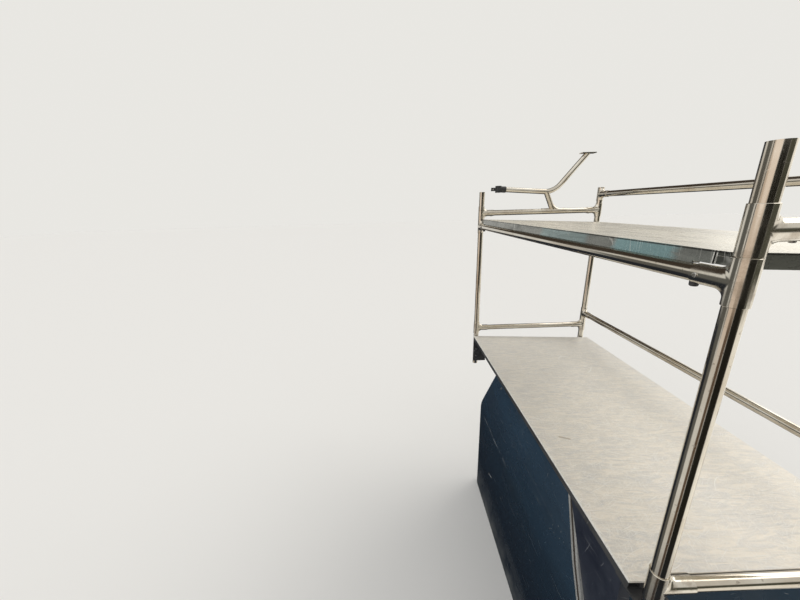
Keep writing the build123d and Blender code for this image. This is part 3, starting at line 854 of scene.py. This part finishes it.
class HeadSheet(Sheet):
    def __init__(self, name, sizes):
        super().__init__(bpy.data.node_groups.new(name, "GeometryNodeTree"))
        sockets = self.tree.interface
        sockets.new_socket("Places", in_out="INPUT", socket_type="NodeSocketGeometry")
        for label, value in sizes.items():
            kind = "NodeSocketInt" if isinstance(value, int) else "NodeSocketFloat"
            sockets.new_socket(label, in_out="INPUT", socket_type=kind).default_value = value
        sockets.new_socket("Heads", in_out="OUTPUT", socket_type="NodeSocketGeometry")
        self.entry = self.add("NodeGroupInput")

    def given(self, label):
        return self.entry.other(label)

    def step(self, body, top, offset, scale):
        # Draws the top face out by offset and shrinks it, so steps make a rounded crown or a recess
        drawn = self.add("GeometryNodeExtrudeMesh", {"mode": "FACES"}, {
            "Mesh": body, "Selection": top, "Offset Scale": offset, "Individual": False,
        })
        newTop = drawn.other("Top")
        shrunk = self.add("GeometryNodeScaleElements", {"domain": "FACE"}, {
            "Geometry": drawn, "Selection": newTop, "Scale": scale,
        })
        return shrunk, newTop


headSizeNames = ("Sides", "Radius", "Height", "Crown", "Recess", "Recess Share")
headSizes = {
    "socketScrews": (20, 0.0042, 0.0014, 0.0010, 0.0012, 0.52),
    "footBolts": (6, 0.0075, 0.0042, 0.0008, 0.0, 0.60),
    "domeBolts": (24, 0.0058, 0.0006, 0.0011, 0.0004, 0.30),
    "railKnobs": (24, 0.0068, 0.0050, 0.0034, 0.0008, 0.34),
    "mouldingPlug": (28, 0.0062, 0.0006, 0.0009, 0.0003, 0.60),
}
headKinds = {name: dict(zip(headSizeNames, row)) for name, row in headSizes.items()}
headShape = {
    "sunk": 0.0003,
    "crownSteps": ((0.55, 0.95), (0.30, 0.88), (0.15, 0.80)),  # share of the crown, scale of the face
    "recessTaper": 0.92,
    "weld": 0.000001,
}


def headTree(name, sizes, finish):
    sheet = HeadSheet(name, sizes)
    radius, height, crown = sheet.given("Radius"), sheet.given("Height"), sheet.given("Crown")
    body = sheet.add("GeometryNodeMeshCylinder", {"fill_type": "NGON"}, {
        "Vertices": sheet.given("Sides"), "Radius": radius, "Depth": height,
    })
    top = body.other("Top")
    solid = body
    for share, scale in headShape["crownSteps"]:
        solid, top = sheet.step(solid, top, crown * share, scale)
    solid, top = sheet.step(solid, top, 0.0, sheet.given("Recess Share"))
    solid, top = sheet.step(solid, top, sheet.given("Recess") * -1.0, headShape["recessTaper"])
    lift = sheet.add("ShaderNodeCombineXYZ", None, {2: height * 0.5 - headShape["sunk"]})
    solid = sheet.add("GeometryNodeTransform", None, {"Geometry": solid, "Translation": lift})
    aim = sheet.add("GeometryNodeInputNamedAttribute", {"data_type": "FLOAT_VECTOR"}, {"Name": "aim"})
    turn = sheet.add("FunctionNodeAlignRotationToVector", {"axis": "Z"}, {"Vector": aim})
    heads = sheet.add("GeometryNodeInstanceOnPoints", None, {
        "Points": sheet.given("Places"), "Instance": solid, "Rotation": turn,
    })
    heads = sheet.add("GeometryNodeRealizeInstances", None, {"Geometry": heads})
    heads = sheet.add("GeometryNodeSetMaterial", None, {"Geometry": heads, "Material": finishes[finish]})
    sheet.add("NodeGroupOutput", None, {"Heads": heads})
    return sheet.tree


def makeHeads(name, places, finish):
    sizes = headKinds[name]
    piece = bakedPiece(name, places, headTree(name, sizes, finish), sizes)
    solid = piece.data
    form = bmesh.new()
    form.from_mesh(solid)
    bmesh.ops.remove_doubles(form, verts=form.verts, dist=headShape["weld"])
    bmesh.ops.recalc_face_normals(form, faces=form.faces)
    form.to_mesh(solid)
    form.free()
    smooth(solid)
    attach(piece, "root")


fastenerPlaces = {
    "socketR": 0.017,
    "screwFromRailEnd": 0.031,
    "knobFromRailEnd": 0.046,
    "tubeR": 0.015,
    "footBoltZ": (0.853, 0.901),
    "bracketPlate": 0.006,
    "ledgerPitch": 0.150,
    "ledgerDrop": 0.018,
    "ledgerSheet": 0.004,
    "stayPitch": 0.058,
    "stayPlate": 0.0025,
    "flangeFromWallEnd": 0.039,
    "pinchFromTip": 0.007,
    "earHalf": 0.0085,
    "plug": ((-0.3345, 0.246, 0.891), (-0.996, 0.0, 0.085)),
}


def middle(node):
    low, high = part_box(node)
    return Vector(low), Vector(high), (Vector(low) + Vector(high)) / 2


def placeFasteners():
    at = fastenerPlaces
    screws, feet, domes, knobs = [], [], [], []
    for node in dressing:
        if "_rail" not in node:
            continue
        low, high, mid = middle(node)
        across = "end_rail" in node
        axis = Vector((1, 0, 0)) if across else Vector((0, 1, 0))
        aim = Vector((0, 0, -1)) if across else Vector((-1, 0, 0))
        for end, sign in ((low, 1), (high, -1)):
            tip = mid - axis * mid.dot(axis) + axis * end.dot(axis)
            screws.append((tip + axis * sign * at["screwFromRailEnd"] + aim * at["socketR"], aim))
            if "shelf_rail" in node:
                down = Vector((0, 0, -1))
                knobs.append((tip + axis * sign * at["knobFromRailEnd"] + down * at["tubeR"], down))
    for row in ("aisle", "wall"):
        for end, sign in (("front", -1), ("rear", 1)):
            post = middle(f"{row}_post_{end}")[2]
            plate = middle(f"{row}_bracket_{end}")
            outer = plate[0].y if sign < 0 else plate[1].y
            for z in at["footBoltZ"]:
                inner = Vector((post.x, outer - sign * at["bracketPlate"], z))
                feet.append((inner, Vector((0, -sign, 0))))
                domes.append((Vector((post.x, post.y + sign * at["tubeR"], z)), Vector((0, sign, 0))))
    for end in ("front", "rear"):
        low, high, mid = middle(f"wall_ledger_{end}")
        for side in (-0.5, 0.5):
            spot = (high.x - at["ledgerSheet"], mid.y + side * at["ledgerPitch"], high.z - at["ledgerDrop"])
            feet.append((Vector(spot), Vector((-1, 0, 0))))
    low, high, mid = middle("overhead_stay")
    topX = high.x - at["flangeFromWallEnd"]
    for side in (-0.5, 0.5):
        spot = (topX + side * at["stayPitch"], mid.y, high.z - 2 * at["stayPlate"])
        screws.append((Vector(spot), Vector((0, 0, -1))))
    low, high, mid = middle("stay_clamp")
    for sign in (-1, 1):
        ear = Vector((low.x + at["pinchFromTip"], mid.y + sign * at["earHalf"], mid.z))
        screws.append((ear, Vector((0, sign, 0))))
    makeHeads("socketScrews", screws, "zinc")
    makeHeads("footBolts", feet, "zinc")
    makeHeads("domeBolts", domes, "zinc")
    makeHeads("railKnobs", knobs, "plastic")
    plug = tuple(Vector(part) for part in at["plug"])
    makeHeads("mouldingPlug", [plug], "zinc")
    print("fasteners set:", len(screws) + len(feet) + len(domes) + len(knobs) + 1)


placeFasteners()


# Studio: pale even floor and background, which metal shows too, between the cards round it

studio = {
    "floorSize": 80.0,
    "floorColour": (0.80, 0.795, 0.78),
    "floorRough": 0.9,
    "floorShine": 0.1,
    "pale": (0.812, 0.800, 0.764),
    "ambientTint": (1.0, 0.99, 0.97),
    "ambient": 0.72,
    "gloss": 1.0,
}
cardShape = {"sideEdge": 0.007, "riseEdge": 0.05}
cardTones = {
    "warm": (0.80, 0.665, 0.555),
    "black": (0.020, 0.019, 0.015),
    "olive": (0.085, 0.086, 0.064),
    "bright": (1.18, 1.15, 1.07),
    "slate": (0.052, 0.054, 0.062),
    "brown": (0.060, 0.047, 0.036),
    "navy": (0.026, 0.030, 0.038),
    "grey": (0.14, 0.14, 0.130),
    "rust": (0.14, 0.095, 0.065),
}
cards = {
    "aislePanel": {"from": -0.10, "to": 0.150, "bottom": -0.32, "top": 0.16, "tone": "warm"},
    "frontFlag": {"from": 0.155, "to": 0.306, "bottom": -0.32, "top": 0.16, "tone": "black"},
    "frontFlagLow": {"from": 0.160, "to": 0.338, "bottom": -0.82, "top": -0.22, "tone": "black"},
    "oliveFlag": {"from": 0.306, "to": 0.446, "bottom": -0.27, "top": 0.20, "tone": "olive"},
    "brightPanel": {"from": 0.452, "to": 0.618, "bottom": -0.32, "top": 0.34, "tone": "bright"},
    "brightPanelLow": {"from": 0.346, "to": 0.618, "bottom": -0.82, "top": -0.22, "tone": "bright"},
    "rearFlag": {"from": 0.626, "to": 0.772, "bottom": -0.32, "top": 0.22, "tone": "slate"},
    "rearFlagHigh": {"from": 0.648, "to": 0.832, "bottom": 0.17, "top": 0.84, "tone": "brown"},
    "rearFlagTop": {"from": 0.800, "to": 0.853, "bottom": 0.42, "top": 0.84, "tone": "brown"},
    "rearFlagLow": {"from": 0.626, "to": 0.884, "bottom": -0.82, "top": -0.22, "tone": "navy"},
    "aisleFlag": {"from": 0.840, "to": 0.948, "bottom": -0.32, "top": 0.17, "tone": "grey"},
    "aisleFlagLow": {"from": 0.866, "to": 0.958, "bottom": -0.82, "top": -0.22, "tone": "grey"},
    "darkLine": {"from": 0.974, "to": 0.993, "bottom": -0.30, "top": 0.17, "tone": "brown"},
    "brownFlagLow": {"from": 0.083, "to": 0.150, "bottom": -0.82, "top": -0.22, "tone": "rust"},
    "underfoot": {"from": -0.1, "to": 1.1, "bottom": -1.2, "top": -0.73, "tone": "navy"},
}


def makeFloor():
    half = studio["floorSize"] / 2
    mesh = bpy.data.meshes.new("studioFloor")
    corners = [(-half, -half, 0), (half, -half, 0), (half, half, 0), (-half, half, 0)]
    mesh.from_pydata(corners, [], [(0, 1, 2, 3)])
    floor = linkedPiece("studioFloor", mesh)
    sheet = ShaderSheet("studioFloor")
    sheet.set(Base_Color=studio["floorColour"], Roughness=studio["floorRough"])
    sheet.set(Specular_IOR_Level=studio["floorShine"])
    plain = Shade(sheet, sheet.shader.outputs[0])
    gloss = sheet.add("ShaderNodeBsdfTransparent")
    kind = sheet.add("ShaderNodeLightPath", out="Is Glossy Ray")
    seen = sheet.add("ShaderNodeMixShader", None, {0: kind, 1: plain, 2: gloss})
    sheet.plug(sheet.tree.nodes["Material Output"].inputs["Surface"], seen)
    mesh.materials.append(sheet.material)


def makeWorld():
    world = bpy.data.worlds.new("studioWorld")
    world.use_nodes = True
    bpy.context.scene.world = world
    world.node_tree.nodes.clear()
    sheet = Sheet(world.node_tree)
    toward = sheet.add("ShaderNodeTexCoord", out="Generated")
    split = sheet.add("ShaderNodeSeparateXYZ", None, {0: toward})
    rise = split.other("Z")
    turn = sheet.math("ARCTAN2", split.other("Y"), split)
    turn = sheet.band(turn, -math.pi, math.pi)
    side, slope = cardShape["sideEdge"], cardShape["riseEdge"]
    shiny = studio["pale"]
    for card in cards.values():
        inside = sheet.band(turn, card["from"] - side, card["from"] + side)
        inside = inside * sheet.band(turn, card["to"] + side, card["to"] - side)
        inside = inside * sheet.band(rise, card["bottom"] - slope, card["bottom"] + slope)
        inside = inside * sheet.band(rise, card["top"] + slope, card["top"] - slope)
        shiny = sheet.blend(inside, shiny, cardTones[card["tone"]])
    ambient = sheet.add("ShaderNodeBackground", None, {0: studio["ambientTint"], 1: studio["ambient"]})
    gloss = sheet.add("ShaderNodeBackground", None, {0: shiny, 1: studio["gloss"]})
    pale = sheet.add("ShaderNodeBackground", None, {0: studio["pale"], 1: 1.0})
    rays = sheet.add("ShaderNodeLightPath", out="Is Glossy Ray")
    lit = sheet.add("ShaderNodeMixShader", None, {0: rays, 1: ambient, 2: gloss})
    direct = rays.other("Is Camera Ray").math("MAXIMUM", rays.other("Is Transmission Ray"))
    seen = sheet.add("ShaderNodeMixShader", None, {0: direct, 1: lit, 2: pale})
    sheet.add("ShaderNodeOutputWorld", None, {"Surface": seen})


lamps = {
    "wallSoft": {"from": (3.6, 0.9, 3.4), "power": 1.10, "tint": (1.0, 0.965, 0.90), "angle": 48.0},
    "aisleSoft": {"from": (-3.6, -2.2, 2.6), "power": 0.40, "tint": (0.94, 0.97, 1.0), "angle": 70.0},
}


def makeLamps():
    for name, lamp in lamps.items():
        data = bpy.data.lights.new(name, "SUN")
        data.angle = math.radians(lamp["angle"])
        data.energy = lamp["power"]
        data.color = lamp["tint"]
        holder = linkedPiece(name, data)
        holder.location = lamp["from"]
        holder.rotation_euler = (-Vector(lamp["from"])).to_track_quat("-Z", "Y").to_euler()


photoCamera = {
    "at": (-0.858, -1.16376, 1.792),
    "focalPixels": 316.0,
    "yaw": 0.0140,
    "pitch": 0.2848,
    "roll": -0.0287,
    "imageWidth": 800,
    "sensor": 36.0,
    "clipStart": 0.02,
    "clipEnd": 200.0,
}


def makeCamera():
    look = photoCamera
    cosYaw, sinYaw = math.cos(look["yaw"]), math.sin(look["yaw"])
    cosPitch, sinPitch = math.cos(look["pitch"]), math.sin(look["pitch"])
    forward = Vector((sinYaw * cosPitch, cosYaw * cosPitch, -sinPitch))
    level = Vector((cosYaw, -sinYaw, 0))
    upright = level.cross(forward)
    cosRoll, sinRoll = math.cos(look["roll"]), math.sin(look["roll"])
    right = level * cosRoll + upright * sinRoll
    up = upright * cosRoll - level * sinRoll
    data = bpy.data.cameras.new("photoCamera")
    data.sensor_fit = "HORIZONTAL"
    data.sensor_width = look["sensor"]
    data.lens = look["focalPixels"] / look["imageWidth"] * look["sensor"]
    data.clip_start = look["clipStart"]
    data.clip_end = look["clipEnd"]
    camera = linkedPiece("photoCamera", data)
    turn = Matrix((right, up, -forward)).transposed().to_4x4()
    camera.matrix_world = Matrix.Translation(look["at"]) @ turn
    bpy.context.scene.camera = camera


makeFloor()
makeWorld()
makeLamps()
makeCamera()
bpy.context.scene.view_settings.view_transform = "Standard"
print("studio ready")
